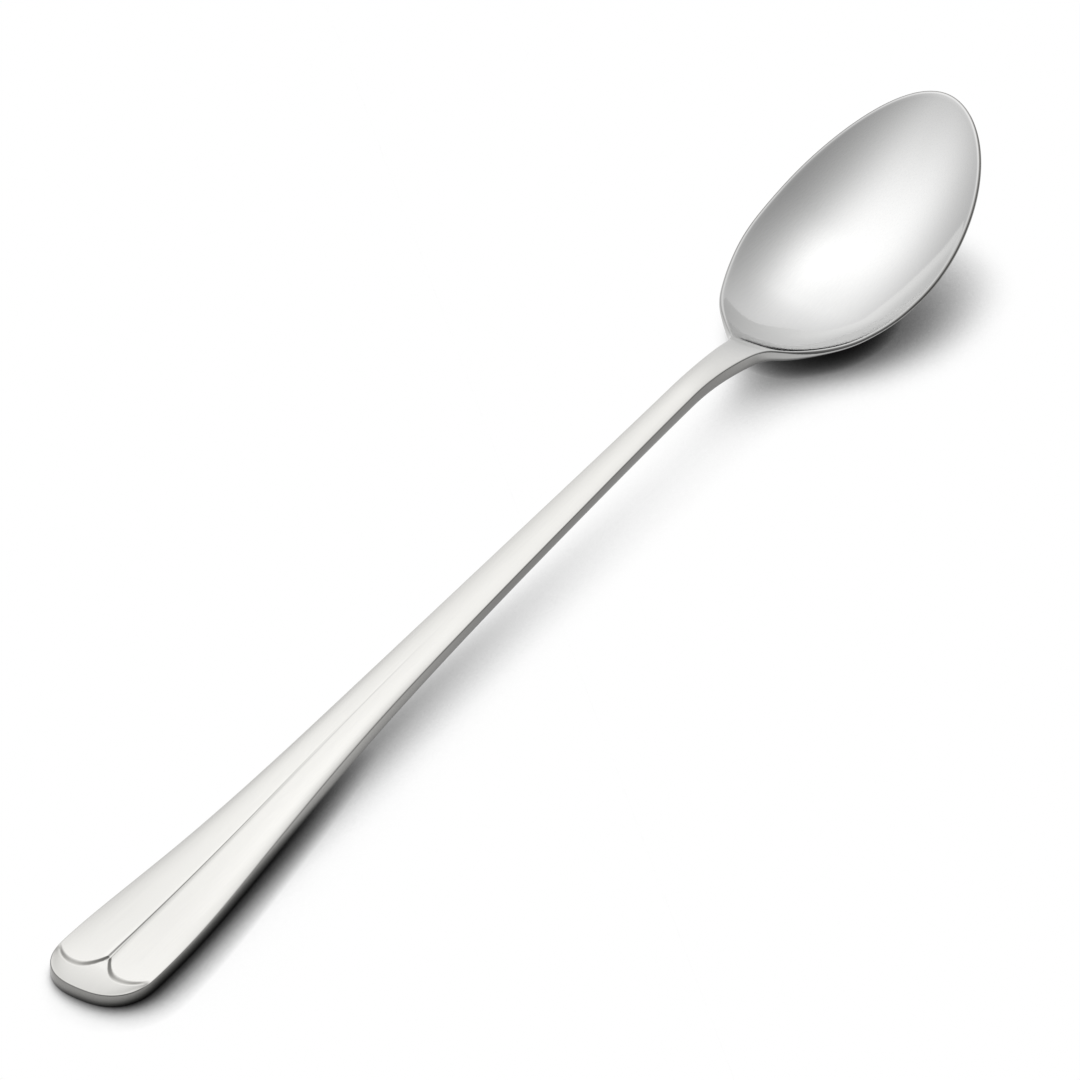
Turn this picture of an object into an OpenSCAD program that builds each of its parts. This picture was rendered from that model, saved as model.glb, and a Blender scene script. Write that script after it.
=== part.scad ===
// Long-handled teaspoon, pressed from one stainless steel blank.
// It lies on its back: X runs from the handle's end to the bowl's tip, Y across it and Z up.
// The origin is on the table, under the middle of the spoon's length.

/* [Overall] */
// Length from the handle's end to the bowl's tip
length = 190; // [160:1:220]
// Height of the top of the stem's arch, just before the neck
crest_h = 7.7; // [6.5:0.05:9]
// How far the handle's edge wall swells out between its top and bottom corners
edge_swell = 0.1; // [0.05:0.05:0.2]

/* [Bowl] */
// Length of the bowl, from where the neck opens to the tip
bowl_l = 47.5; // [42:0.1:54]
// Width across the rim at its widest
bowl_w = 26.6; // [22:0.1:30]
// Depth below the rim at the widest place
bowl_depth = 4.8; // [3.5:0.1:6]
// Rise of the rim from its low place by the neck to the tip
tip_rise = 12.8; // [10:0.1:14]
// Thickness of the metal at the rim
rim_t = 0.75; // [0.6:0.05:1.2]
// How far the bowl's edge wall flares out below the rim
rim_swell = 0.25; // [0.05:0.05:0.4]
// Extra thickness of the metal at the middle of the bowl
bowl_extra_t = 0.25; // [0:0.05:0.5]

/* [Handle] */
// Greatest width of the handle, near its end
handle_w = 12.8; // [10:0.1:16]
// Height of the edge wall at the handle's end
handle_t = 1.6; // [1.2:0.05:2]
// Height of the handle's crown above its edges
handle_crown = 0.6; // [0.4:0.05:1.2]
// Length of the rounded nose at the handle's end
nose_l = 6.5; // [5:0.1:9]
// Length of the flat underside that rests on the table
rest_l = 14; // [10:0.5:20]

/* [Stem] */
// Width of the stem at its narrowest, before the neck
stem_w = 3.6; // [2.8:0.1:5]
// Height of the stem's edge wall
stem_t = 1.35; // [1.2:0.05:2]
// Height of the neck's edge wall, where the stem's arch ends
neck_t = 1.55; // [1.2:0.05:1.9]
// Height of the stem's crown above its edges
stem_crown = 0.35; // [0.1:0.05:0.6]

/* [Ornament] */
// Step from the two tongues down to the crescent at the handle's end
tongue_step = 0.2; // [0.1:0.05:0.4]
// Distance from the handle's end to the tongues' round ends
tongue_start = 3.9; // [3:0.1:5]
// How far the tongues' ends curve back towards the groove between them
tongue_bow = 2.3; // [1.5:0.1:3.5]
// How far the tongues' ends curve back towards the handle's sides
tongue_side = 1.9; // [0.5:0.1:2.5]
// Width of the groove between the tongues, at its mouth
groove_w = 0.5; // [0.3:0.05:0.8]
// Depth of the groove, past its mouth
groove_d = 0.15; // [0.05:0.05:0.3]
// Length of the groove, from the tongues' ends to where it fades out
groove_l = 68; // [40:1:80]

/* [Hidden] */
steel = [0.85, 0.85, 0.83];

// Columns on each side of the middle line, and rows along each stretch
cols = 12;
nose_rows = 6;
tongue_rows = 5;
handle_rows = 22;
stem_rows = 14;
neck_rows = 14;
heel_rows = 18;
tip_rows = 16;

// Distances s run along the spoon from the handle's end, inside the swell of the edge wall
s_tip = length - edge_swell - rim_swell;
s_bowl = s_tip - bowl_l;
tip_l = 0.505 * bowl_l;
heel_l = bowl_l - tip_l;
s_wide = s_tip - tip_l;
s_rim_low = s_bowl + 0.15 * bowl_l;
rim_l = s_tip - s_rim_low;
s_mouth = s_bowl + 0.025 * bowl_l;
s_stem = 0.53 * s_bowl;
s_neck = 0.89 * s_bowl;
s_crest = 0.905 * s_bowl;
bowl_half = bowl_w / 2 - rim_swell;
handle_half = handle_w / 2 - edge_swell;
stem_half = stem_w / 2 - edge_swell;
nose_power = 2.5;
nose_arc = 45;
tongue_power = 2.4;
groove_end_ratio = 0.5;
groove_mouth_l = 5;
tip_power = 0.51;
heel_power = 1.3;
bowl_power = 2.4;
heel_spread = 1.3;
swell_height = 0.35;
rest_spare = 0.2;
arch_h = crest_h - neck_t;

function clamp01(t) = min(1, max(0, t));
function mix(a, b, t) = a + (b - a) * t;

// A curve through stations [distance, value, slope], with a cubic between each two
function segment(st, s, i = 0) = i >= len(st) - 2 || s <= st[i + 1][0] ? i : segment(st, s, i + 1);
function along(st, s) =
    let (i = segment(st, s), a = st[i], b = st[i + 1], d = b[0] - a[0], t = clamp01((s - a[0]) / d))
    a[1] * (1 + 2 * t) * (1 - t) * (1 - t) + a[2] * d * t * (1 - t) * (1 - t)
    + b[1] * t * t * (3 - 2 * t) - b[2] * d * t * t * (1 - t);

// Place along the bowl: -1 where the neck opens, 0 at the widest place, 1 at the tip
function bowl_place(s) = s < s_wide ? (s - s_wide) / heel_l : (s - s_wide) / tip_l;
function bowl_fill(s) = max(0, 1 - pow(bowl_place(s), 2));

// Half width of the top face: the handle's nose, its taper, the bowl's shoulders and the tip's oval
taper = [
    [nose_l, handle_half, 0],
    [0.21 * s_bowl, 0.745 * handle_half, -0.085],
    [0.42 * s_bowl, 0.465 * handle_half, -0.034],
    [0.7 * s_bowl, 1.2 * stem_half, -0.016],
    [s_neck, stem_half, -0.004],
    [s_bowl - 0.1 * heel_l, 1.36 * stem_half, 0.085],
    [s_bowl, 0.207 * bowl_half, 0.28],
    [s_bowl + 0.09 * heel_l, 0.31 * bowl_half, 0.83],
    [s_bowl + 0.283 * heel_l, 0.598 * bowl_half, 0.8],
    [s_bowl + 0.453 * heel_l, 0.782 * bowl_half, 0.42],
    [s_wide, bowl_half, 0],
];
function nose_half(s) = pow(1 - pow(1 - clamp01(s / nose_l), nose_power), 1 / nose_power);
function tip_half(s) = bowl_half * pow(bowl_fill(s), tip_power);
function half_w(s) = s < nose_l ? handle_half * nose_half(s) : s < s_wide ? along(taper, s) : tip_half(s);

// Depth of the bowl on the middle line, and how far its back bulges below the rim's lower edge
function depth(s) = s < s_bowl ? 0 : bowl_depth * pow(bowl_fill(s), s < s_wide ? heel_power : 1);
function belly(s) = s < s_bowl ? 0 : depth(s) + bowl_extra_t * bowl_fill(s);

// Height of the rim's curve above its low place, and the lift that sets the bowl's back on the table
rim = [
    [s_rim_low, 0, 0.06],
    [s_rim_low + 0.25 * rim_l, 0.106 * tip_rise, 0.235],
    [s_rim_low + 0.56 * rim_l, 0.36 * tip_rise, 0.35],
    [s_tip, tip_rise, 0.635],
];
function rim_curve(s) = s < s_rim_low ? 0 : along(rim, s);
heel_lift = max([for (i = [0 : 100]) let (s = mix(s_bowl, s_tip, i / 100)) belly(s) - rim_curve(s)]);

// Height of the edge wall, of its lower corner and of its upper corner
wall = [
    [0, handle_t, 0],
    [0.28 * s_bowl, handle_t + 0.15, 0],
    [0.7 * s_bowl, stem_t, 0],
    [s_crest, neck_t, 0.01],
    [s_bowl, neck_t + 0.1, -0.02],
    [s_rim_low, rim_t + 0.13, -0.05],
    [s_wide, rim_t, 0],
    [s_tip, rim_t, 0],
];
rise = [
    [0, 0, 0],
    [rest_l, 0, 0],
    [0.42 * s_bowl, 0.477 * arch_h, 0.073],
    [s_neck, arch_h, 0.029],
    [s_bowl - 0.17 * heel_l, 0.82 * arch_h, -0.194],
    [s_bowl + 0.064 * heel_l, heel_lift + 0.26, -0.29],
    [s_rim_low, heel_lift, 0.06],
];
function low_z(s) = s < s_rim_low ? along(rise, s) : heel_lift + rim_curve(s);
function edge_z(s) = low_z(s) + along(wall, s);

// Crown of the handle and the stem above their edges
crown = [
    [0, 0, 0],
    [nose_l, 0.5 * handle_crown, 0.07 * handle_crown],
    [0.17 * s_bowl, handle_crown, 0],
    [0.7 * s_bowl, stem_crown, 0],
    [s_crest, stem_crown, 0],
    [s_rim_low, 0, 0],
    [s_tip, 0, 0],
];

// Power of the crown's curve across: nearly flat with round shoulders on the handle, an arch on the stem
crown_power = [
    [0.3 * s_bowl, 4, 0],
    [0.6 * s_bowl, 2, 0],
];

// The groove between the tongues: as low as the crescent at its mouth, then narrowing and fading out
s_groove = tongue_start + tongue_bow;
function groove_fade(s) = 1 - clamp01((s - s_groove) / groove_l);
function past_mouth(s) = clamp01((s - s_groove) / groove_mouth_l);
function groove_half(s) = groove_w / 2 * mix(1, groove_end_ratio, past_mouth(s));
function groove_depth(s) = mix(tongue_step, groove_d * groove_fade(s), past_mouth(s));

// Heights of the top and of the underside at distance s and place y across
function across(s, y) = min(1, abs(y) / max(half_w(s), 0.001));
function across_fill(s, y) = 1 - pow(across(s, y), bowl_power);
function crown_fill(s, y) = 1 - pow(across(s, y), along(crown_power, s));
function top_z(s, y) = edge_z(s) + along(crown, s) * crown_fill(s, y) - depth(s) * across_fill(s, y);
function spare(s) = s < rest_l ? rest_spare : 0;
function under_z(s, y) = low_z(s) - spare(s) - belly(s) * across_fill(s, y);

// The crescent sinks from the nose's edge to the foot of the tongues, and fades out at both sides
function sunk_by(s, y, t) = tongue_step * t * (1 - pow(across(s, y), 4));

// Straight rows of plan points: even steps from edge to edge, or beside a groove's edges
function plain_row(s) = [for (k = [-cols : cols]) [s, half_w(s) * k / cols]];
function grooved(k, s) =
    k == 0 ? 0 : sign(k) * mix(groove_half(s), half_w(s), (abs(k) - 1) / (cols - 1));
function grooved_row(s) = [for (k = [-cols : cols]) [s, grooved(k, s)]];

// The handle's round nose, and the tongues' ends, as plan points of column k
function nose_point(k) =
    let (a = nose_arc * k / cols, s = nose_l * (1 - pow(cos(a), 2 / nose_power)))
    [s, sign(k) * half_w(s)];
function tongue_point(k) =
    let (f = max(0, abs(k) - 1) / (cols - 1),
        bow = f < 0.5 ? tongue_bow : tongue_side,
        s = tongue_start + bow * pow(abs(2 * f - 1), tongue_power))
    [s, grooved(k, s)];
function crescent_point(t, k) =
    let (p = mix(nose_point(k), tongue_point(k), t))
    abs(k) == cols ? [p[0], sign(k) * half_w(p[0])] : p;
function crescent_row(t) = [for (k = [-cols : cols]) crescent_point(t, k)];
function tongue_row(t) = [for (k = [-cols : cols])
    let (s = mix(tongue_point(k)[0], rest_l, t)) [s, grooved(k, s)]];

// Rows of the bowl's tip, bowed so that the last one follows the rim
function tip_point(t, k) =
    let (v = k / cols,
        place = t * sqrt(1 - v * v / 2),
        side = v * sqrt(1 - t * t / 2) / sqrt(max(1 - place * place, 0.000001)),
        s = s_wide + tip_l * place)
    [s, side * half_w(s)];
function tip_row(t) = [for (k = [-cols : cols]) tip_point(t, k)];

// Widest place of the edge wall beside plan point p, pushed out square to the outline
swell = [
    [s_neck, edge_swell, 0],
    [s_rim_low, rim_swell, 0],
];
function outline_slope(s) =
    let (a = max(0, s - 0.01), b = min(s_tip, s + 0.01)) (half_w(b) - half_w(a)) / (b - a);
function wall_point(p) =
    let (out = [-outline_slope(p[0]), sign(p[1])], q = p + along(swell, p[0]) * out / norm(out))
    [q[0], q[1], low_z(p[0]) + swell_height * along(wall, p[0])];

// Solid between the rows' top and underside, each end cut off or closed along the round outline
function quad(a, b, c, d) = [[a, b, c], [a, c, d]];
function joined(list) = [for (l = list) each l];
module loft(rows, round_start = false, round_end = false, sunk = false) {
    r = len(rows) - 1;
    m = 2 * cols;
    count = (r + 1) * (m + 1);
    function lowered(p, i, k) = sunk ? sunk_by(p[0], p[1], i / r) : k == cols ? groove_depth(p[0]) : 0;
    function height(p, i, k) = top_z(p[0], p[1]) - lowered(p, i, k);
    tops = [for (i = [0 : r]) for (k = [0 : m]) let (p = rows[i][k]) [p[0], p[1], height(p, i, k)]];
    unders = [for (row = rows) for (p = row) [p[0], p[1], under_z(p[0], p[1])]];
    right = [for (row = rows) wall_point(row[0])];
    left = [for (row = rows) wall_point(row[m])];
    starts = [for (k = [1 : m - 1]) wall_point(rows[0][k])];
    ends = [for (k = [1 : m - 1]) wall_point(rows[r][k])];
    function top(i, k) = i * (m + 1) + k;
    function under(i, k) = count + top(i, k);
    function side_r(i) = 2 * count + i;
    function side_l(i) = 2 * count + r + 1 + i;
    function nose(k) = k == 0 ? side_r(0) : k == m ? side_l(0) : 2 * count + 2 * (r + 1) + k - 1;
    function tip(k) = k == 0 ? side_r(r) : k == m ? side_l(r) : 2 * count + 2 * (r + 1) + k - 1;
    faces = joined([
        for (i = [0 : r - 1]) each [
            for (k = [0 : m - 1]) quad(top(i, k), top(i, k + 1), top(i + 1, k + 1), top(i + 1, k)),
            for (k = [0 : m - 1]) quad(under(i, k), under(i + 1, k), under(i + 1, k + 1), under(i, k + 1)),
            quad(top(i + 1, m), top(i, m), side_l(i), side_l(i + 1)),
            quad(side_l(i + 1), side_l(i), under(i, m), under(i + 1, m)),
            quad(top(i, 0), top(i + 1, 0), side_r(i + 1), side_r(i)),
            quad(side_r(i), side_r(i + 1), under(i + 1, 0), under(i, 0)),
        ],
        for (k = [0 : m - 1]) each round_start ? [
            quad(top(0, k + 1), top(0, k), nose(k), nose(k + 1)),
            quad(nose(k + 1), nose(k), under(0, k), under(0, k + 1)),
        ] : [quad(top(0, k + 1), top(0, k), under(0, k), under(0, k + 1))],
        for (k = [0 : m - 1]) each round_end ? [
            quad(top(r, k), top(r, k + 1), tip(k + 1), tip(k)),
            quad(tip(k), tip(k + 1), under(r, k + 1), under(r, k)),
        ] : [quad(top(r, k), top(r, k + 1), under(r, k + 1), under(r, k))],
        round_start ? [] : [[top(0, m), under(0, m), side_l(0)], [top(0, 0), side_r(0), under(0, 0)]],
        round_end ? [] : [[top(r, m), side_l(r), under(r, m)], [top(r, 0), under(r, 0), side_r(r)]],
    ]);
    points = concat(tops, unders, right, left, round_start ? starts : [], round_end ? ends : []);
    translate([edge_swell - length / 2, 0, 0]) polyhedron(points, faces, convexity = 6);
}

// Trims the spare metal off the underside, level with the table
module flat_rest() {
    difference() {
        children();
        translate([-length, -handle_w, -handle_w]) cube([length, 2 * handle_w, handle_w]);
    }
}

// The egg-shaped bowl
module bowl() {
    function heel_s(i) = mix(s_mouth, s_wide, pow(i / heel_rows, heel_spread));
    heel = [for (i = [0 : heel_rows - 1]) plain_row(heel_s(i))];
    tip = [for (i = [0 : tip_rows]) tip_row(i / tip_rows)];
    color(steel) loft(concat(heel, tip), round_end = true);
}

// The neck, which cranks down from the stem and opens into the bowl
module neck() {
    color(steel) loft([for (i = [0 : neck_rows]) plain_row(mix(s_neck, s_mouth, i / neck_rows))]);
}

// The slim arched stem
module stem() {
    color(steel) loft([for (i = [0 : stem_rows]) plain_row(mix(s_stem, s_neck, i / stem_rows))]);
}

// The broad handle with its two raised tongues and the groove between them
module handle() {
    ends = [for (i = [0 : tongue_rows - 1]) tongue_row(i / tongue_rows)];
    shaft = [for (i = [0 : handle_rows]) grooved_row(mix(rest_l, s_stem, i / handle_rows))];
    color(steel) flat_rest() loft(concat(ends, shaft));
}

// The low crescent at the handle's round end
module handle_end() {
    rows = [for (i = [0 : nose_rows]) crescent_row(i / nose_rows)];
    color(steel) flat_rest() loft(rows, round_start = true, sunk = true);
}

bowl();
neck();
stem();
handle();
handle_end();
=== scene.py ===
# Long-handled teaspoon of satin stainless steel, lying on its back on a white table
import math

import bpy
import numpy as np
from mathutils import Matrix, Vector


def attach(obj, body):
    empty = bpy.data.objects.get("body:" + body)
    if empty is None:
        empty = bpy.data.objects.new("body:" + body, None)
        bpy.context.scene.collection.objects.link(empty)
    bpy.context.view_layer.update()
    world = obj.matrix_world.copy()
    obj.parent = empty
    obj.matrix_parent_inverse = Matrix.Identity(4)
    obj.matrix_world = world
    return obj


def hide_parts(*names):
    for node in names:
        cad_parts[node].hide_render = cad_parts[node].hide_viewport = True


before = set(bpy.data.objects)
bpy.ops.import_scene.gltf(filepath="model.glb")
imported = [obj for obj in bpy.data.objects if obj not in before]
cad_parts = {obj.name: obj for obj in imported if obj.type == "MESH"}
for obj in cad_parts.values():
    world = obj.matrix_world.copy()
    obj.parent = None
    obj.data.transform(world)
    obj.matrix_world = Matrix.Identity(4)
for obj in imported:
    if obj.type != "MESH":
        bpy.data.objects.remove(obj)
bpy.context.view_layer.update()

MM = 0.001

# Driving sizes of the spoon, in millimetres, as in the part's source
length = 190.0
crest_h = 7.7
edge_swell = 0.1
bowl_l = 47.5
bowl_w = 26.6
bowl_depth = 4.8
tip_rise = 12.8
rim_t = 0.75
rim_swell = 0.25
bowl_extra_t = 0.25
handle_w = 12.8
handle_t = 1.6
handle_crown = 0.6
nose_l = 6.5
rest_l = 14.0
stem_w = 3.6
stem_t = 1.35
neck_t = 1.55
stem_crown = 0.35
tongue_step = 0.2
tongue_start = 3.9
tongue_bow = 2.3
tongue_side = 1.9
groove_w = 0.5
groove_d = 0.15
groove_l = 68.0

# Fine forms that only the looks need: rounded edges, the tongues' soft banks and the soft groove
handle_round = 0.13
rim_round = 0.34
step_w = 0.85
crescent_l = 4.4
crescent_least_l = 0.8
crescent_power = 1.5
bank_fade_power = 8
groove_spread = 1.4
# Slope of the ornament at which its painted shade is full, and where the painted shade on the nose's top
# corner fades out
full_shade_slope = 0.35
corner_fade_start = 0.5 * nose_l
corner_fade_l = 0.4 * nose_l

# Places along the spoon, measured from the handle's end
s_tip = length - edge_swell - rim_swell
s_bowl = s_tip - bowl_l
tip_l = 0.505 * bowl_l
heel_l = bowl_l - tip_l
s_wide = s_tip - tip_l
s_rim_low = s_bowl + 0.15 * bowl_l
rim_l = s_tip - s_rim_low
s_mouth = s_bowl + 0.025 * bowl_l
s_stem = 0.53 * s_bowl
s_neck = 0.89 * s_bowl
s_crest = 0.905 * s_bowl
s_groove = tongue_start + tongue_bow
bowl_half = bowl_w / 2 - rim_swell
handle_half = handle_w / 2 - edge_swell
stem_half = stem_w / 2 - edge_swell
arch_h = crest_h - neck_t
nose_power = 2.5
bowl_power = 2.4
nose_arc = math.radians(45)
tongue_power = 2.4
tip_power = 0.51
heel_power = 1.3
swell_height = 0.35
groove_end_ratio = 0.5
groove_mouth_l = 5.0


def mix(a, b, t):
    return a + (b - a) * t


def ease(t):
    c = np.clip(t, 0, 1)
    return c * c * (3 - 2 * c)


def along(stations, s):
    """A curve through stations (distance, value, slope), with a cubic between each two."""
    st = np.array(stations, float)
    s = np.asarray(s, float)
    i = np.clip(np.searchsorted(st[:, 0], s) - 1, 0, len(st) - 2)
    a, b = st[i], st[i + 1]
    d = b[..., 0] - a[..., 0]
    t = np.clip((s - a[..., 0]) / d, 0, 1)
    start = a[..., 1] * (1 + 2 * t) * (1 - t) ** 2 + a[..., 2] * d * t * (1 - t) ** 2
    end = b[..., 1] * t * t * (3 - 2 * t) - b[..., 2] * d * t * t * (1 - t)
    return start + end


def bowl_fill(s):
    place = np.where(s < s_wide, (s - s_wide) / heel_l, (s - s_wide) / tip_l)
    return np.maximum(0, 1 - place**2)


# Half width of the handle, the stem and the bowl's shoulders: distance, value and slope
taper = [
    (nose_l, handle_half, 0),
    (0.21 * s_bowl, 0.745 * handle_half, -0.085),
    (0.42 * s_bowl, 0.465 * handle_half, -0.034),
    (0.7 * s_bowl, 1.2 * stem_half, -0.016),
    (s_neck, stem_half, -0.004),
    (s_bowl - 0.1 * heel_l, 1.36 * stem_half, 0.085),
    (s_bowl, 0.207 * bowl_half, 0.28),
    (s_bowl + 0.09 * heel_l, 0.31 * bowl_half, 0.83),
    (s_bowl + 0.283 * heel_l, 0.598 * bowl_half, 0.8),
    (s_bowl + 0.453 * heel_l, 0.782 * bowl_half, 0.42),
    (s_wide, bowl_half, 0),
]


def half_w(s):
    """Half width of the spoon: the handle's nose and taper, the bowl's shoulders and its tip."""
    s = np.asarray(s, float)
    nose = handle_half * (1 - (1 - np.clip(s / nose_l, 0, 1)) ** nose_power) ** (1 / nose_power)
    tip = bowl_half * bowl_fill(s) ** tip_power
    return np.where(s < nose_l, nose, np.where(s < s_wide, along(taper, s), tip))


def depth(s):
    fill = bowl_fill(s)
    return np.where(s < s_bowl, 0, bowl_depth * np.where(s < s_wide, fill**heel_power, fill))


def belly(s):
    return np.where(s < s_bowl, 0, depth(s) + bowl_extra_t * bowl_fill(s))


# Height of the rim's curve above its low place
rim = [
    (s_rim_low, 0, 0.06),
    (s_rim_low + 0.25 * rim_l, 0.106 * tip_rise, 0.235),
    (s_rim_low + 0.56 * rim_l, 0.36 * tip_rise, 0.35),
    (s_tip, tip_rise, 0.635),
]


def rim_curve(s):
    return np.where(s < s_rim_low, 0, along(rim, s))


# The lift that sets the bowl's back on the table
bowl_line = np.linspace(s_bowl, s_tip, 101)
heel_lift = float((belly(bowl_line) - rim_curve(bowl_line)).max())
# Height of the edge wall
wall = [
    (0, handle_t, 0),
    (0.28 * s_bowl, handle_t + 0.15, 0),
    (0.7 * s_bowl, stem_t, 0),
    (s_crest, neck_t, 0.01),
    (s_bowl, neck_t + 0.1, -0.02),
    (s_rim_low, rim_t + 0.13, -0.05),
    (s_wide, rim_t, 0),
    (s_tip, rim_t, 0),
]
# Height of the edge wall's lower corner above the table
rise = [
    (0, 0, 0),
    (rest_l, 0, 0),
    (0.42 * s_bowl, 0.477 * arch_h, 0.073),
    (s_neck, arch_h, 0.029),
    (s_bowl - 0.17 * heel_l, 0.82 * arch_h, -0.194),
    (s_bowl + 0.064 * heel_l, heel_lift + 0.26, -0.29),
    (s_rim_low, heel_lift, 0.06),
]
# How far the edge wall swells out, and how far its corners are rounded
swell = [(s_neck, edge_swell, 0), (s_rim_low, rim_swell, 0)]
rounding = [(s_neck, handle_round, 0), (s_rim_low, rim_round, 0)]
# Crown of the handle and the stem above their edges, and the power of its curve across
crown = [
    (0, 0, 0),
    (nose_l, 0.5 * handle_crown, 0.07 * handle_crown),
    (0.17 * s_bowl, handle_crown, 0),
    (0.7 * s_bowl, stem_crown, 0),
    (s_crest, stem_crown, 0),
    (s_rim_low, 0, 0),
    (s_tip, 0, 0),
]
crown_power = [(0.3 * s_bowl, 4, 0), (0.6 * s_bowl, 2, 0)]
# How much painted shade darkens the edge wall, standing in for its dark reflection of the shaded table:
# most along the stem, round the nose and at the bowl's far end
edge_shade_share = [
    (0, 0.85, 0),
    (0.12 * s_bowl, 0.6, 0),
    (0.3 * s_bowl, 0.6, 0),
    (0.6 * s_bowl, 1, 0),
    (s_neck, 1, 0),
    (s_rim_low, 0.5, 0),
    (s_wide, 0.9, 0),
    (s_tip, 1, 0),
]


def low_z(s):
    return np.where(s < s_rim_low, along(rise, s), heel_lift + rim_curve(s))


def edge_z(s):
    return low_z(s) + along(wall, s)


def from_middle(s, y):
    return np.minimum(1, np.abs(y) / np.maximum(half_w(s), 0.001))


def across_fill(s, y):
    return 1 - from_middle(s, y) ** bowl_power


def crown_fill(s, y):
    return 1 - from_middle(s, y) ** along(crown_power, s)


def top_z(s, y):
    return edge_z(s) + along(crown, s) * crown_fill(s, y) - depth(s) * across_fill(s, y)


def under_z(s, y):
    return low_z(s) - belly(s) * across_fill(s, y)


def outward(s, y):
    """Direction square to the outline, in plan, at the outline's point s, y."""
    by = 0.01
    a = np.maximum(0, s - by)
    b = np.minimum(s_tip, s + by)
    slope = (half_w(b) - half_w(a)) / (b - a)
    out = np.stack([-slope, np.sign(y)], -1)
    return out / np.linalg.norm(out, axis=-1, keepdims=True)


def groove_fade(s):
    return 1 - np.clip((s - s_groove) / groove_l, 0, 1)


def past_mouth(s):
    return np.clip((s - s_groove) / groove_mouth_l, 0, 1)


def groove_half(s):
    return groove_w / 2 * mix(1, groove_end_ratio, past_mouth(s))


def groove_cut(s, y):
    """Depth of the groove at s, y: a soft U, as low as the crescent at its mouth, that fades out."""
    r = np.clip(np.abs(y) / (groove_spread * groove_half(s)), 0, 1)
    return mix(tongue_step, groove_d * groove_fade(s), past_mouth(s)) * (1 - r * r) ** 2


def tongue_s(s, y):
    """Where the tongues' round ends lie, for a place s, y across the handle."""
    g = groove_half(s)
    f = np.clip((np.abs(y) - g) / (half_w(s) - g), 0, 1)
    return tongue_start + np.where(f < 0.5, tongue_bow, tongue_side) * np.abs(2 * f - 1) ** tongue_power


def nose_start(y):
    """Where the handle's round nose begins, at a place y across."""
    inner = np.clip(np.abs(y) / handle_half, 0, 1) ** nose_power
    return nose_l * (1 - (1 - inner) ** (1 / nose_power))


# Columns on each side of the middle line; the last two lie close together at the edge
bowl_cols = 26
stem_cols = 14
handle_cols = 12
near_edge = 0.97
groove_steps = groove_spread * np.linspace(0.2, 1, 5)


def handle_columns(n):
    """Columns as shares of the groove's half width, and as shares of the way on to the edge."""
    share = np.append(np.linspace(0, 1, n + 1)[1:-1] * near_edge, [near_edge, 1])
    g = np.concatenate([[0], groove_steps, np.full(n + 1, groove_steps[-1])])
    f = np.concatenate([np.zeros(1 + len(groove_steps)), share])
    return np.append(-g[:0:-1], g), np.append(-f[:0:-1], f)


def plain_columns(n):
    """Columns as shares of the way to the edge, where there is no groove."""
    share = np.append(np.linspace(0, 1, n + 1)[:-1] * near_edge, [near_edge, 1])
    f = np.append(-share[:0:-1], share)
    return np.zeros(len(f)), f


def across(columns, s):
    """Places y of the columns at distance s."""
    g, f = columns
    return g * groove_half(s) * (1 - np.abs(f)) + f * half_w(s)


# Rows along a piece, with a hair-thin row beside each cut so that the shine runs on unbroken
thin_row = 0.03
nose_thin_rows = [0, 0.02]
tongue_thin_rows = [0, 0.004, 0.02]
neck_step = 0.6
shaft_step = 0.9
heel_count = 44
heel_spread = 1.3
tip_count = 40
last_tip_row = 0.985
tongue_count = 11
front_count = 12
bank_count = 20
bank_start = 0.7
settle_rounds = 20


def rows_between(a, b, step):
    inner = np.linspace(a, b, max(2, int(round((b - a) / step))) + 1)[1:-1]
    return np.concatenate([[a, a + thin_row], inner, [b - thin_row, b]])


def straight_rows(columns, distances):
    s = distances[:, None] + np.zeros(len(columns[0]))
    return s, across(columns, s)


# The edge, in steps: rounded top corner, wall, its rounded widest place, wall, rounded lower corner
edge_steps = [4, 1, 3, 1, 4]
levels = sum(edge_steps)
sharp_angle = math.radians(40)
# How closely a sheet's pull back from the edge keeps to the sides, and to a round end
side_pull_power = 3
end_pull_power = 8


def edge_profile(s, top, under):
    """Plan offset and height of each level of the edge wall at outline points s."""
    z_t = edge_z(s)
    z_u = low_z(s)
    flat = np.zeros(s.shape)
    edge_round = along(rounding, s)
    start = np.stack([-edge_round, top])
    upper = np.stack([flat, z_t])
    widest = np.stack([along(swell, s), mix(z_u, z_t, swell_height)])
    lower = np.stack([flat, z_u])
    end = np.stack([-edge_round, under])

    def beside(corner, way):
        run = np.linalg.norm(way - corner, axis=0)
        return mix(corner, way, np.minimum(0.5, edge_round / run))

    below = beside(upper, widest)
    above = beside(lower, widest)
    turn_in = mix(widest, below, 0.5)
    turn_out = mix(widest, above, 0.5)
    arcs = [
        (start, upper, below),
        (below, mix(below, turn_in, 0.5), turn_in),
        (turn_in, widest, turn_out),
        (turn_out, mix(turn_out, above, 0.5), above),
        (above, lower, end),
    ]
    points = [start]
    for (a, b, c), steps in zip(arcs, edge_steps):
        for t in np.linspace(0, 1, steps + 1)[1:]:
            points.append((1 - t) ** 2 * a + 2 * t * (1 - t) * b + t * t * c)
    points = np.array(points)
    return points[:, 0], points[:, 1]


def blank(name, rows, columns):
    """A flat strip of rows by columns, drawn down level by level to give it its edge wall."""
    bpy.ops.object.select_all(action="DESELECT")
    bpy.ops.mesh.primitive_grid_add(x_subdivisions=rows - 1, y_subdivisions=columns - 1, size=2)
    piece = bpy.context.object
    piece.name = name
    piece.data.name = name
    bpy.ops.object.mode_set(mode="EDIT")
    bpy.ops.mesh.select_all(action="SELECT")
    for _ in range(levels):
        bpy.ops.mesh.extrude_region_move(TRANSFORM_OT_translate={"value": (0, 0, -1)})
    bpy.ops.mesh.select_all(action="SELECT")
    bpy.ops.mesh.normals_make_consistent(inside=False)
    bpy.ops.object.mode_set(mode="OBJECT")
    return piece


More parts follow.
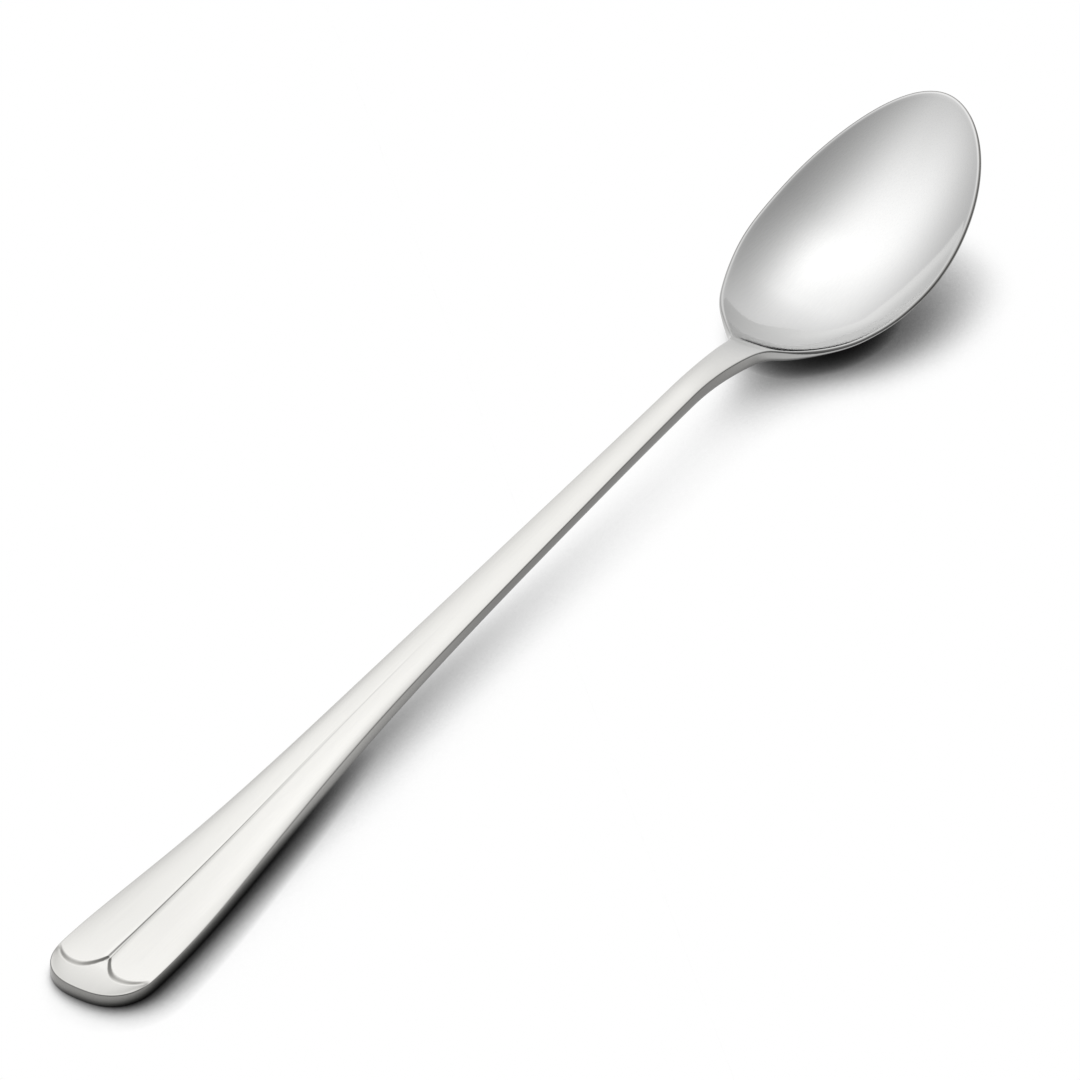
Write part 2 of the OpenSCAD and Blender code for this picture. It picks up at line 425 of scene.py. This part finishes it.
def press(name, s, y, lowered, crease_shade_amount=0.0, round_start=False, round_end=False):
    """Presses a blank into shape: s, y are its rows and columns in plan, out to the outline."""
    rows, columns = s.shape
    piece = blank(name, rows, columns)
    flat = np.empty(len(piece.data.vertices) * 3)
    piece.data.vertices.foreach_get("co", flat)
    flat = flat.reshape(-1, 3)
    i = np.rint((flat[:, 0] + 1) / 2 * (rows - 1)).astype(int)
    j = np.rint((flat[:, 1] + 1) / 2 * (columns - 1)).astype(int)
    k = np.rint(-flat[:, 2]).astype(int)

    # The sheets stop where the rounded edge begins
    outline = np.zeros(s.shape, bool)
    outline[:, [0, -1]] = True
    outline[0] |= round_start
    outline[-1] |= round_end
    side = np.abs(np.linspace(-1, 1, columns))[None, :] ** side_pull_power
    left = outward(s[:, -1], y[:, -1])[:, None, :]
    right = outward(s[:, 0], y[:, 0])[:, None, :]
    half = (np.arange(columns) >= columns // 2)[None, :, None]
    pull = side[..., None] * np.where(half, left, right)
    total = side + np.zeros(s.shape)
    for use, row, order in ((round_start, 0, 1), (round_end, -1, -1)):
        if use:
            end = (1 - np.linspace(0, 1, rows))[::order, None] ** end_pull_power
            pull = pull + end[..., None] * outward(s[row], y[row])[None]
            total = total + end
    pull = pull / np.maximum(1, total)[..., None]
    pull = along(rounding, s)[..., None] * pull
    sheet_s = s - pull[..., 0]
    sheet_y = y - pull[..., 1]

    top = top_z(sheet_s, sheet_y) - lowered(sheet_s, sheet_y)
    under = under_z(sheet_s, sheet_y)
    place = np.stack([sheet_s[i, j], sheet_y[i, j], mix(top[i, j], under[i, j], k / levels)], -1)
    wall_part = outline[i, j]
    wi, wj, wk = i[wall_part], j[wall_part], k[wall_part]
    out, height = edge_profile(s[wi, wj], top[wi, wj], under[wi, wj])
    step = np.arange(len(wk))
    out = out[wk, step]
    way = outward(s[wi, wj], y[wi, wj])
    edge = (wk > 0) & (wk < levels)
    spot = np.stack([s[wi, wj], y[wi, wj]], -1) + way * out[:, None]
    wall_place = place[wall_part]
    wall_place[edge, :2] = spot[edge]
    wall_place[:, 2] = height[wk, step]
    place[wall_part] = wall_place

    place[:, 0] += edge_swell - length / 2
    piece.data.vertices.foreach_set("co", (place * MM).ravel())

    # The wall gets painted shade from half way round its corners on, and the nose's top corner gets it
    # too: a darker colour that stands in for the wall's dark reflection of the shaded table
    on_wall = wall_part & (k >= edge_steps[0] / 2) & (k <= levels - edge_steps[-1] / 2)
    nose_corner = wall_part & (k > 0) & (k < edge_steps[0] / 2)
    corner_shade = 1 - ease((s - corner_fade_start) / corner_fade_l)
    edge_shade = np.where(on_wall, along(edge_shade_share, s)[i, j], np.where(nose_corner, corner_shade[i, j], 0))
    # The ornament's steep sides get painted shade, a darker colour that stands in for the shading of the
    # groove and the tongues' banks
    steep = np.where(k == 0, crease_shade_amount * steepness(lowered, sheet_s, sheet_y)[i, j], 0)
    for label, value in (("edge_painted_shade", edge_shade), ("crease_painted_shade", np.clip(steep / full_shade_slope, 0, 1))):
        piece.data.attributes.new(label, "FLOAT", "POINT").data.foreach_set("value", value)
    piece.data.update()
    bpy.ops.object.shade_smooth_by_angle(angle=sharp_angle)
    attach(piece, "root")
    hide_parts(name.removeprefix("satin_"))
    return piece


def steepness(lowered, s, y):
    """Steepest slope of the ornament at s, y, on the groove's sides and the tongues' banks."""
    by = 0.05
    along_s = lowered(s + by, y) - lowered(s - by, y)
    along_y = lowered(s, y + by) - lowered(s, y - by)
    return np.hypot(along_s, along_y) / (2 * by)


def no_ornament(s, y):
    return np.zeros(s.shape)


def crescent_sunk(s, y):
    """How far the crescent is sunk: more and more from the nose's edge to the foot of the banks."""
    foot = tongue_s(s, y) - step_w
    front = nose_start(y)
    run = np.clip((s - front) / np.maximum(crescent_l - front, crescent_least_l), 0, 1)
    slope = 1 - (1 - run) ** crescent_power
    fade = 1 - from_middle(s, y) ** bank_fade_power
    bank = (1 - ease((s - foot) / step_w)) * fade
    return slope * tongue_step * (1 - (1 - bank) * (1 - groove_cut(s, y) / tongue_step))


def bowl_rows():
    """Straight rows in the heel, then rows that bow until the last one follows the tip's rim."""
    columns = plain_columns(bowl_cols)
    heel = mix(s_mouth, s_wide, np.linspace(0, 1, heel_count) ** heel_spread)
    heel = np.insert(heel, 1, s_mouth + thin_row)
    heel_s, heel_y = straight_rows(columns, heel)
    t = np.append(np.linspace(0, 1, tip_count + 1)[1:-1], [last_tip_row, 1])[:, None]
    v = columns[1][None, :]
    place = t * np.sqrt(1 - v * v / 2)
    width = v * np.sqrt(1 - t * t / 2) / np.sqrt(np.maximum(1 - place * place, 1e-6))
    tip_s = s_wide + tip_l * place
    tip_y = width * half_w(tip_s)
    return np.concatenate([heel_s, tip_s]), np.concatenate([heel_y, tip_y])


def tongue_edge(columns):
    """Plan points of the tongues' round ends, one for each column."""
    s = np.full(len(columns[0]), s_groove)
    for _ in range(settle_rounds):
        y = across(columns, s)
        s = tongue_s(s, y)
    return s, y


def handle_rows(columns):
    """Rows from the tongues' round ends, straight from the end of the flat rest on."""
    edge_s = tongue_edge(columns)[0]
    t = np.append(tongue_thin_rows, np.linspace(0, 1, tongue_count + 1)[1:-1])[:, None]
    end_s = mix(edge_s[None, :], rest_l, t)
    end_y = across(columns, end_s)
    shaft = np.delete(rows_between(rest_l, s_stem, shaft_step), 1)
    shaft_s, shaft_y = straight_rows(columns, shaft)
    return np.concatenate([end_s, shaft_s]), np.concatenate([end_y, shaft_y])


def crescent_rows(columns):
    """Rows from the handle's round nose to the tongues' ends, closest together on the banks."""
    edge_s, edge_y = tongue_edge(columns)
    turn = nose_arc * edge_y / half_w(edge_s)
    nose_s = nose_l * (1 - np.cos(turn) ** (2 / nose_power))
    nose_y = np.sign(turn) * half_w(nose_s)
    front = np.linspace(0, bank_start, front_count + 1)[1:]
    bank = np.linspace(bank_start, 1, bank_count + 1)[1:]
    t = np.concatenate([nose_thin_rows, front, bank])[:, None]
    s = mix(nose_s[None, :], edge_s[None, :], t)
    y = mix(nose_y[None, :], edge_y[None, :], t)
    y[:, 0] = -half_w(s[:, 0])
    y[:, -1] = half_w(s[:, -1])
    return s, y


slim = plain_columns(stem_cols)
broad = handle_columns(handle_cols)
neck_rows = straight_rows(slim, rows_between(s_neck, s_mouth, neck_step))
stem_rows = straight_rows(slim, rows_between(s_stem, s_neck, shaft_step))
pieces = [
    press("satin_bowl", *bowl_rows(), no_ornament, round_end=True),
    press("satin_neck", *neck_rows, no_ornament),
    press("satin_stem", *stem_rows, no_ornament),
    # The groove's sides get faint painted shade, and the tongues' banks get full painted shade
    press("satin_handle", *handle_rows(broad), groove_cut, crease_shade_amount=0.05),
    press("satin_handle_end", *crescent_rows(broad), crescent_sunk, crease_shade_amount=1.0, round_start=True),
]


def linear(code):
    """An sRGB hex colour as linear red, green, blue and alpha."""
    parts = [int(code[n : n + 2], 16) / 255 for n in (1, 3, 5)]
    return [c / 12.92 if c <= 0.04045 else ((c + 0.055) / 1.055) ** 2.4 for c in parts] + [1]


def add(tree, kind, inputs=None, **settings):
    """Adds a node with its settings; an input is a value or the socket that feeds it."""
    node = tree.nodes.new(kind)
    for name, value in settings.items():
        setattr(node, name, value)
    for key, value in (inputs or {}).items():
        if isinstance(value, bpy.types.NodeSocket):
            tree.links.new(value, node.inputs[key])
        else:
            node.inputs[key].default_value = value
    return node


def fresh_tree(owner):
    owner.use_nodes = True
    owner.node_tree.nodes.clear()
    return owner.node_tree


# Satin stainless steel, brushed lengthwise: pale grey, slightly warm, with soft broad reflections
grain_l = 9 * MM
grain_w = 0.2 * MM
grain_depth = 0.003 * MM
cloud_l = 14 * MM
least_rough = 0.15
most_rough = 0.21
polished_share = 0.33
polish_before = 14 * MM
polish_after = 4 * MM
steel = bpy.data.materials.new("satin_stainless_steel")
tree = fresh_tree(steel)
place = add(tree, "ShaderNodeTexCoord").outputs["Object"]
brush_scale = (1 / grain_l, 1 / grain_w, 1 / grain_w)
brush_map = add(tree, "ShaderNodeMapping", {"Vector": place, "Scale": brush_scale})
brush = add(
    tree,
    "ShaderNodeTexNoise",
    {"Vector": brush_map.outputs[0], "Scale": 1.0, "Detail": 2.0, "Roughness": 0.6},
)
cloud = add(
    tree,
    "ShaderNodeTexNoise",
    {"Vector": place, "Scale": 1 / cloud_l, "Detail": 3.0, "Roughness": 0.5},
)
satin = add(
    tree,
    "ShaderNodeMapRange",
    {
        "Value": cloud.outputs["Fac"],
        "From Min": 0.3,
        "From Max": 0.7,
        "To Min": least_rough,
        "To Max": most_rough,
    },
)
# The bowl is polished smoother than the handle: the finish changes across the bowl's mouth
spot = add(tree, "ShaderNodeSeparateXYZ", {"Vector": place})
mouth_x = (s_mouth - length / 2) * MM
satin_share = add(
    tree,
    "ShaderNodeMapRange",
    {
        "Value": spot.outputs["X"],
        "From Min": mouth_x - polish_before,
        "From Max": mouth_x + polish_after,
        "To Min": 1.0,
        "To Max": 0.0,
    },
    interpolation_type="SMOOTHSTEP",
)
smooth = add(
    tree,
    "ShaderNodeMapRange",
    {"Value": satin_share.outputs[0], "To Min": polished_share, "To Max": 1.0},
)
rough = add(tree, "ShaderNodeMath", {0: satin.outputs[0], 1: smooth.outputs[0]}, operation="MULTIPLY")
polished = add(tree, "ShaderNodeMix", {"Factor": brush.outputs["Fac"]}, data_type="RGBA")
polished.inputs[6].default_value = linear("#D0D0D0")
polished.inputs[7].default_value = linear("#D6D6D5")
frosted = add(tree, "ShaderNodeMix", {"Factor": brush.outputs["Fac"]}, data_type="RGBA")
frosted.inputs[6].default_value = linear("#D3D2CF")
frosted.inputs[7].default_value = linear("#D9D8D5")
metal = add(
    tree,
    "ShaderNodeMix",
    {"Factor": satin_share.outputs[0], 6: polished.outputs[2], 7: frosted.outputs[2]},
    data_type="RGBA",
)
# Painted shade: the edge wall gets a darker colour that stands in for its dark reflection of the shaded
# table, and the foot of the tongues' banks and the groove's sides get painted shade too
wall_part = add(tree, "ShaderNodeAttribute", attribute_name="edge_painted_shade")
edge_shade = add(
    tree,
    "ShaderNodeMix",
    {"Factor": wall_part.outputs["Fac"], 6: metal.outputs[2]},
    data_type="RGBA",
)
edge_shade.inputs[7].default_value = linear("#7C7B79")
crease_shade_node = add(tree, "ShaderNodeAttribute", attribute_name="crease_painted_shade")
tone = add(tree, "ShaderNodeMix", {"Factor": crease_shade_node.outputs["Fac"], 6: edge_shade.outputs[2]}, data_type="RGBA")
tone.inputs[7].default_value = linear("#83827F")
bump = add(
    tree,
    "ShaderNodeBump",
    {"Height": brush.outputs["Fac"], "Strength": 1.0, "Distance": grain_depth},
)
shader = add(
    tree,
    "ShaderNodeBsdfPrincipled",
    {
        "Base Color": tone.outputs[2],
        "Metallic": 1.0,
        "Roughness": rough.outputs[0],
        "Normal": bump.outputs[0],
    },
)
add(tree, "ShaderNodeOutputMaterial", {"Surface": shader.outputs[0]})
for piece in pieces:
    piece.data.materials.append(steel)

# The camera, as far away and as high as the photograph's
azimuth = math.radians(57.54)
elevation = math.radians(35.62)
distance = 892.5 * MM
look_at = Vector((5.48, 3.70, 0)) * MM
away = Vector((math.sin(azimuth), math.cos(azimuth), 0))
rightward = Vector((math.cos(azimuth), -math.sin(azimuth), 0))
forward = away * math.cos(elevation) - Vector((0, 0, math.sin(elevation)))
camera = bpy.data.objects.new("camera", bpy.data.cameras.new("camera"))
bpy.context.collection.objects.link(camera)
camera.data.sensor_width = 36
camera.data.lens = 249.33
camera.location = look_at - forward * distance
camera.rotation_mode = "QUATERNION"
camera.rotation_quaternion = forward.to_track_quat("-Z", "Y")
camera.data.clip_start = 0.01
bpy.context.scene.camera = camera


def toward(right_by, up_by):
    """A direction in degrees: to the right of straight away from the camera, and up."""
    turn = math.radians(right_by)
    lift = math.radians(up_by)
    flat = away * math.cos(turn) + rightward * math.sin(turn)
    return flat * math.cos(lift) + Vector((0, 0, math.sin(lift)))


# The table, under plain white paper, with the spoon's soft shade on it
table_size = 6
table_gap = 0.01 * MM
shade_gain = 1.5
shade_samples = 12
nose_reach = 4.5 * MM
stem_reach = 2.6 * MM
wide_reach = 12 * MM
close_power = 2.3
wide_power = 1.9
bpy.ops.object.select_all(action="DESELECT")
bpy.ops.mesh.primitive_plane_add(size=table_size, location=(0, 0, -table_gap))
table = bpy.context.object
table.name = "table"
bpy.ops.object.transform_apply(location=True, rotation=True, scale=True)
paint = bpy.data.materials.new("white_paper")
tree = fresh_tree(paint)
paper = add(tree, "ShaderNodeBsdfDiffuse", {"Color": linear("#EEEEEE")})
# The light comes over the far left, so metal that is near on that side shades the paper
lean = toward(-50, 45)
light_side = add(tree, "ShaderNodeCombineXYZ", {"X": lean.x, "Y": lean.y, "Z": lean.z}).outputs[0]
# Beside the handle's end, which lies on the paper, the near shade reaches further than elsewhere
paper_place = add(tree, "ShaderNodeTexCoord").outputs["Object"]
paper_spot = add(tree, "ShaderNodeSeparateXYZ", {"Vector": paper_place})
near_reach = add(
    tree,
    "ShaderNodeMapRange",
    {
        "Value": paper_spot.outputs["X"],
        "From Min": -length / 2 * MM,
        "From Max": -length / 4 * MM,
        "To Min": nose_reach,
        "To Max": stem_reach,
    },
)
shade = shade_gain
for reach, power in ((near_reach.outputs[0], close_power), (wide_reach, wide_power)):
    facts = {"Distance": reach, "Normal": light_side}
    nearby = add(tree, "ShaderNodeAmbientOcclusion", facts, samples=shade_samples)
    part = add(tree, "ShaderNodeMath", {0: nearby.outputs["AO"], 1: power}, operation="POWER")
    shade = add(tree, "ShaderNodeMath", {0: part.outputs[0], 1: shade}, operation="MULTIPLY").outputs[0]
shade = add(tree, "ShaderNodeMath", {0: shade, 1: 1.0}, operation="MINIMUM").outputs[0]
bright = add(tree, "ShaderNodeEmission", {"Color": (1, 1, 1, 1), "Strength": shade})
rays = add(tree, "ShaderNodeLightPath")
seen = rays.outputs["Is Camera Ray"]
for kind in ("Is Glossy Ray", "Is Transmission Ray"):
    seen = add(tree, "ShaderNodeMath", {0: seen, 1: rays.outputs[kind]}, operation="MAXIMUM").outputs[0]
surface = add(tree, "ShaderNodeMixShader", {0: seen, 1: paper.outputs[0], 2: bright.outputs[0]})
add(tree, "ShaderNodeOutputMaterial", {"Surface": surface.outputs[0]})
table.data.materials.append(paint)

# Soft panels that the steel mirrors: direction, brightness and how sharply each falls off
panels = [
    (toward(28, 70), 0.53, 12.0),
    (toward(-74, 60), 0.8, 5.0),
    (toward(0, 34), 1.02, 1.85),
    (toward(180, 45), 0.22, 2.0),
]
world = bpy.data.worlds.new("studio")
bpy.context.scene.world = world
tree = fresh_tree(world)
ray = add(tree, "ShaderNodeTexCoord").outputs["Generated"]
total = 0.0
for direction, level, sharpness in panels:
    facing = add(tree, "ShaderNodeVectorMath", {0: ray, 1: direction}, operation="DOT_PRODUCT")
    terms = {0: facing.outputs["Value"], 1: sharpness, 2: -sharpness}
    power = add(tree, "ShaderNodeMath", terms, operation="MULTIPLY_ADD")
    glow = add(tree, "ShaderNodeMath", {0: power.outputs[0]}, operation="EXPONENT")
    terms = {0: glow.outputs[0], 1: level, 2: total}
    total = add(tree, "ShaderNodeMath", terms, operation="MULTIPLY_ADD").outputs[0]
sky = add(tree, "ShaderNodeBackground", {"Color": (1, 1, 1, 1), "Strength": total})
add(tree, "ShaderNodeOutputWorld", {"Surface": sky.outputs[0]})

bpy.context.scene.view_settings.view_transform = "Standard"
